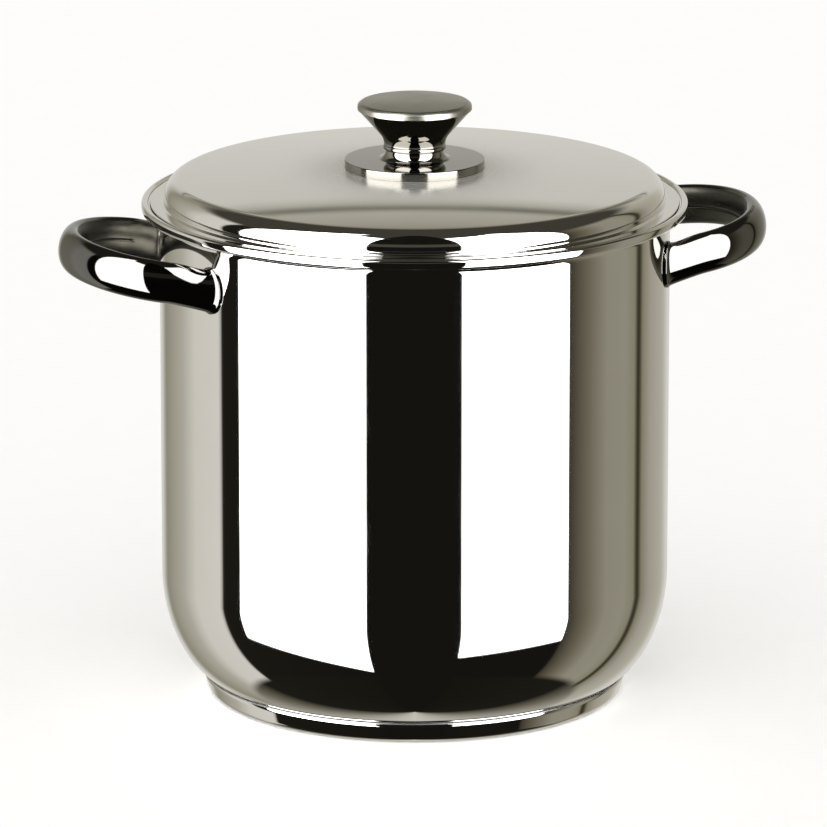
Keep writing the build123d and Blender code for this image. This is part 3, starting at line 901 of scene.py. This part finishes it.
    def build(self, finishes: Finishes) -> None:
        """Makes and places the knob's pieces, and dresses its fasteners."""
        # the fittings take the darkened steel, whose dim tint is painted shade
        made = (
            (self.skirt(), "knob_skirt", finishes.cast, Slot.POLISHED),
            (self.bead(), "knob_collar", finishes.cast, Slot.POLISHED),
            (self.cone(), "knob_grip", finishes.cast, Slot.POLISHED),
            (self.cap(), "knob_cap", finishes.cap, Slot.SATIN),
        )
        for piece, node, finish, slot in made:
            dress(piece, finish)
            piece.visible_glossy = node not in self.unmirrored
            place(piece, "lid", slot, node)
        for node in self.fasteners:
            dress(frame["nodes"][node], finishes.screw)
            frame["nodes"][node].visible_glossy = False


# ---------- rack ----------
@dataclass
class Rack:
    """Wire jar rack and its bails, kept as the CAD has them."""

    prefix: str = "rack_"
    bails: tuple[str, ...] = ("left_bail", "right_bail")

    def build(self, finishes: Finishes) -> None:
        """Gives every wire its finish."""
        for name, node in frame["nodes"].items():
            if name.startswith(self.prefix) or name in self.bails:
                dress(node, finishes.wire)
                log.info("%s: wire finish", name)


# ---------- studio ----------
@dataclass
class Studio:
    """Pale floor, camera and a soft world of light panels round the pot; metres and degrees.

    Bearings are seen from the pot: 0 is towards the camera, and they grow to the right of the view.
    """

    camera_turn: float = -14.0
    distance: float = 4.158
    height: float = 1.226
    pitch: float = 14.44
    lens: float = 338.6
    sensor: float = 36.0
    far_clip: float = 100.0
    sideways: float = -0.00145
    floor_size: float = 12.0
    floor_drop: float = 0.2 * MM  # the floor lies just under the base, so that the two never coincide
    floor_tint: str = "F4F3F1"
    floor_grain: float = 0.985  # how bright the paper's darker fibres are
    floor_grain_scale: float = 40.0
    floor_roughness: float = 0.9
    daylight: float = 1.1  # what matt things get from every side
    panel_gain: float = 6.0
    panels: tuple[tuple[float, ...], ...] = (  # from, to, lower edge, upper edge, fall of the edges
        (-86, -22, -43.5, 62, 0.27),
        (21.4, 73.5, -33, 62, 0.13),
    )
    panel_corner: float = 22.0  # the panels' edges start to fall at this bearing
    flag: str = "161512"
    flag_gap: str = "4A473E"  # the flag behind the camera lets some light over it
    flag_gap_rise: Pair = (11.0, 27.0)
    flag_span: Pair = (-21.0, 20.6)
    flag_top: float = 86.0
    ceiling: str = "3F3D35"
    ceiling_rise: float = 33.0
    ground_rise: float = -48.0
    rear_bearing: float = 160.0
    anywhere: float = 400.0  # beyond every angle
    walls: Stops = (  # the room by bearing
        (-180, "C8C6BE"), (-166, "A5A196"), (-154, "8F8C7C"), (-130, "B3B0A4"),
        (-118, "D3D0C8"), (-99, "D9D6CF"), (-97, "1E1B16"), (-87, "1B1A15"),
        (-20, "161512"), (20, "161512"), (73, "161512"), (74, "3E3A30"),
        (85, "706A5A"), (97, "938F81"), (110, "979384"), (118, "8C8875"),
        (120.5, "3C382C"), (123, "3C382C"), (125.5, "88846F"), (134, "A5A095"),
        (150, "B4B1A2"), (166, "CCCBC5"), (180, "C8C6BE"),
    )
    rear_wall: Stops = (  # the wall behind the pot by height
        (0.0, "D6D4CE"), (18.4, "CBC9C1"), (19.6, "B0ADA2"), (20.3, "67645A"),
        (21.0, "B0ADA1"), (22.6, "A5A196"), (24.2, "8C887B"), (26.0, "716D60"),
        (45.0, "5A574C"), (90.0, "24231D"),
    )
    ground: Stops = (  # the floor that steel mirrors, by bearing to either side
        (0, "16150F"), (108, "1F1D17"), (129.6, "6E6A5C"), (180, "CFCCC3"),
    )

    def camera(self) -> None:
        """Makes the camera, a long lens a little above the lid."""
        data = bpy.data.cameras.new("camera")
        data.lens, data.sensor_width, data.shift_x = self.lens, self.sensor, self.sideways
        data.clip_end = self.far_clip
        camera = bpy.data.objects.new("camera", data)
        bpy.context.scene.collection.objects.link(camera)
        turn = math.radians(self.camera_turn)
        camera.location = (math.sin(turn) * self.distance, -math.cos(turn) * self.distance, self.height)
        camera.rotation_euler = (math.radians(90 - self.pitch), 0, turn)
        bpy.context.scene.camera = camera
        bpy.context.scene.view_settings.view_transform = "Standard"

    def floor(self) -> None:
        """Makes the pale floor, which takes the pot's contact shadow and is clear from below."""
        bpy.ops.object.select_all(action="DESELECT")
        bpy.ops.mesh.primitive_grid_add(x_subdivisions=4, y_subdivisions=4, size=self.floor_size)
        floor = bpy.context.object
        floor.name = "floor"
        floor.location.z = -self.floor_drop
        floor.visible_glossy = False
        material = bpy.data.materials.new("matt_white_paper_sweep")
        material.use_nodes = True
        tree = material.node_tree
        shader = tree.nodes["Principled BSDF"]
        shader.inputs["Roughness"].default_value = self.floor_roughness
        shader.inputs["Specular IOR Level"].default_value = 0.0
        spot = add_node(tree, "TexCoord").outputs["Object"]
        size = {"Vector": spot, "Scale": self.floor_grain_scale, "Detail": 3.0}
        grain = add_node(tree, "TexNoise", size).outputs["Fac"]
        tint = blend_colours(tree, grain, linear(self.floor_tint), linear(self.floor_tint, self.floor_grain))
        tree.links.new(tint, shader.inputs["Base Color"])
        clear = add_node(tree, "BsdfTransparent").outputs[0]
        below = add_node(tree, "NewGeometry").outputs["Backfacing"]
        seen = add_node(tree, "MixShader", {0: below, 1: shader.outputs[0], 2: clear}).outputs[0]
        tree.links.new(seen, tree.nodes["Material Output"].inputs["Surface"])
        dress(floor, material)

    @staticmethod
    def within(tree: Tree, value: Socket, low: float, high: float, soft: float = 1.2) -> Socket:
        """A mask that is 1 between two angles, with soft edges.

        Args:
            tree: the world's tree.
            value: the angle in degrees.
            low: where the mask begins.
            high: where it ends.
            soft: width of each edge in degrees.

        Returns:
            The mask's socket.
        """
        begins, ends = (low - soft / 2, low + soft / 2), (high - soft / 2, high + soft / 2)
        rise = spread(tree, value, begins, (0, 1), interpolation_type="SMOOTHSTEP")
        fall = spread(tree, value, ends, (1, 0), interpolation_type="SMOOTHSTEP")
        return maths(tree, "MULTIPLY", rise, fall)

    @staticmethod
    def by_angle(tree: Tree, angle: Socket, stops: Stops) -> Socket:
        """Colours an angle, from the first stop's to the last one's.

        Args:
            tree: the world's tree.
            angle: the angle in degrees.
            stops: angles in degrees, and sRGB hex colours.

        Returns:
            The colour's socket.
        """
        first, last = stops[0][0], stops[-1][0]
        places = tuple(((degrees - first) / (last - first), colour) for degrees, colour in stops)
        return ramp(tree, spread(tree, angle, (first, last), (0, 1)), places)

    def directions(self, tree: Tree) -> tuple[Socket, Socket]:
        """Works out where a ray goes.

        Args:
            tree: the world's tree.

        Returns:
            The sockets of its bearing and of its rise above the horizon, in degrees.
        """
        ray = add_node(tree, "TexCoord").outputs["Generated"]
        about = {"Vector": ray, "Angle": -math.radians(self.camera_turn)}
        turned = add_node(tree, "VectorRotate", about, rotation_type="Z_AXIS")
        apart = add_node(tree, "SeparateXYZ", {0: turned.outputs[0]}).outputs
        towards = maths(tree, "MULTIPLY", apart["Y"], -1.0)
        bearing = maths(tree, "DEGREES", maths(tree, "ARCTAN2", apart["X"], towards))
        return bearing, maths(tree, "DEGREES", maths(tree, "ARCSINE", apart["Z"]))

    def room(self, tree: Tree, bearing: Socket, aside: Socket, rise: Socket) -> Socket:
        """Colours the walls, the ceiling and the ground that steel mirrors.

        Args:
            tree: the world's tree.
            bearing: socket of the ray's bearing.
            aside: socket of the bearing without its sign.
            rise: socket of the ray's rise.

        Returns:
            The colour's socket.
        """
        sides = self.by_angle(tree, bearing, self.walls)
        rear = self.by_angle(tree, rise, self.rear_wall)
        far_back = self.within(tree, aside, self.rear_bearing, self.anywhere, 16)
        level = blend_colours(tree, far_back, sides, rear)
        overhead = self.within(tree, rise, self.ceiling_rise, self.anywhere, 10)
        level = blend_colours(tree, overhead, level, linear(self.ceiling))
        under = self.within(tree, rise, -self.anywhere, self.ground_rise, 4)
        return blend_colours(tree, under, level, self.by_angle(tree, aside, self.ground))

    def lights(self, tree: Tree, bearing: Socket, aside: Socket, rise: Socket, shown: Socket) -> Socket:
        """Lays the dark flag behind the camera and the two light panels over the room.

        Args:
            tree: the world's tree.
            bearing: socket of the ray's bearing.
            aside: socket of the bearing without its sign.
            rise: socket of the ray's rise.
            shown: socket of the room's colour.

        Returns:
            The colour's socket.
        """
        across = self.within(tree, bearing, *self.flag_span)
        strip = maths(tree, "MULTIPLY", across, self.within(tree, rise, -self.anywhere, self.flag_top))
        gap = self.within(tree, rise, *self.flag_gap_rise, 5)
        flag = blend_colours(tree, gap, linear(self.flag), linear(self.flag_gap))
        shown = blend_colours(tree, strip, shown, flag)
        outer = maths(tree, "MAXIMUM", maths(tree, "SUBTRACT", aside, self.panel_corner), 0.0)
        for low, high, bottom, top, slant in self.panels:
            lifted = maths(tree, "MULTIPLY_ADD", outer, -slant, rise)
            wide = self.within(tree, bearing, low, high)
            panel = maths(tree, "MULTIPLY", wide, self.within(tree, lifted, bottom, top, 2))
            shown = blend_colours(tree, panel, shown, linear("FFFFFF", self.panel_gain))
        return shown

    def world(self) -> None:
        """Makes the light: an even dome for matt things, and a room with panels for steel to mirror."""
        world = bpy.data.worlds.new("studio")
        bpy.context.scene.world = world
        world.use_nodes = True
        tree = world.node_tree
        bearing, rise = self.directions(tree)
        aside = maths(tree, "ABSOLUTE", bearing)
        shown = self.lights(tree, bearing, aside, rise, self.room(tree, bearing, aside, rise))
        mirrored = add_node(tree, "LightPath").outputs["Is Glossy Ray"]
        light = blend_colours(tree, mirrored, linear("FFFFFF", self.daylight), shown)
        tree.links.new(light, tree.nodes["Background"].inputs["Color"])

    def build(self) -> None:
        """Makes everything that isn't part of the object."""
        self.camera()
        self.floor()
        self.world()


def main() -> None:
    """Builds the studio and then each sub-assembly, in order."""
    logging.basicConfig(level=logging.INFO, format="%(name)s: %(message)s")
    Studio().build()
    finishes = Finishes()
    Pot().build(finishes)
    for side in Side:
        Handle(side).build(finishes)
    Lid().build(finishes)
    Knob().build(finishes)
    Rack().build(finishes)


if __name__ == "__main__":
    main()
